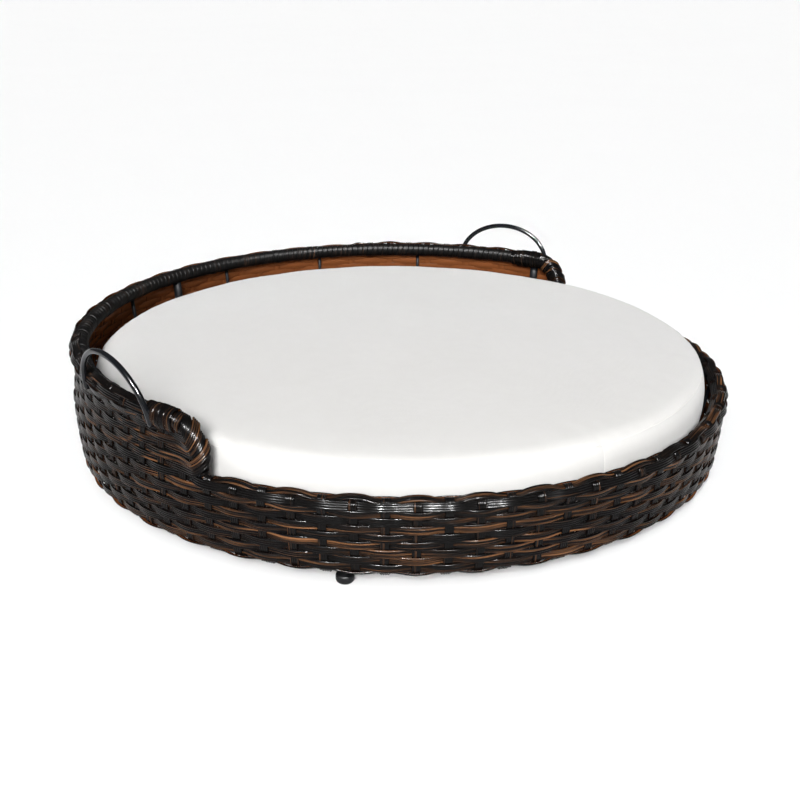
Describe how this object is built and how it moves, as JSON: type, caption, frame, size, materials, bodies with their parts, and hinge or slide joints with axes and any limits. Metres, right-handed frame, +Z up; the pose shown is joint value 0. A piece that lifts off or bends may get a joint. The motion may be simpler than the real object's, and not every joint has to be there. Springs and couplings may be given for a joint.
{
  "type": "round wicker pet bed basket",
  "caption": "Round low wicker pet bed with a high wrapped back, low front, bent-rod handles, short feet and a thick loose round cushion.",
  "frame": {"origin": "on the floor, under the centre of the round basket", "axes": "+Z up; +Y towards the middle of the high back, so the low front faces -Y; X runs from side to side through the ends of the high back, near the handles"},
  "size_m": [0.8731, 0.86, 0.2147],
  "materials": {
    "frame": "gloss",
    "weave": "satin",
    "wrap": "satin",
    "floor_weave": "satin",
    "foot": "satin",
    "foam": "matte",
    "cover": "matte",
    "zip_tape": "matte",
    "zip_metal": "satin"
  },
  "bodies": {
    "basket": {"base_binding": "wrap", "base_ring": "frame", "cross_tube_back": "frame", "cross_tube_front": "frame", "cross_tube_long": "frame", "end_wrap_left": "wrap", "end_wrap_right": "wrap", "foot_back": "foot", "foot_front": "foot", "foot_left": "foot", "foot_right": "foot", "handle_left": "frame", "handle_right": "frame", "low_border": "wrap", "low_rail": "frame", "post_back": "frame", "post_front": "frame", "post_left": "frame", "post_right": "frame", "rim_hoop": "frame", "rim_wrap": "wrap", "rod_back_left_1": "frame", "rod_back_left_2": "frame", "rod_back_left_3": "frame", "rod_back_right_1": "frame", "rod_back_right_2": "frame", "rod_back_right_3": "frame", "rod_front_left_1": "frame", "rod_front_left_2": "frame", "rod_front_right_1": "frame", "rod_front_right_2": "frame", "woven_floor": "floor_weave", "woven_wall": "weave"},
    "cushion": {"foam_core": "foam", "cover_top": "cover", "cover_bottom": "cover", "cover_band": "cover", "zip_tape": "zip_tape"},
    "zip": {"zip_slider": "zip_metal"}
  },
  "joints": [
    {"name": "cushion_lift", "type": "slide", "parent": "basket", "child": "cushion", "axis": [0, 0, 1], "range_m": [0, 0.2]},
    {"name": "zip_run", "type": "hinge", "parent": "cushion", "child": "zip", "pos_m": [0, 0, 0.08465], "axis": [0, 0, 1], "range_deg": [0, 56]}
  ]
}
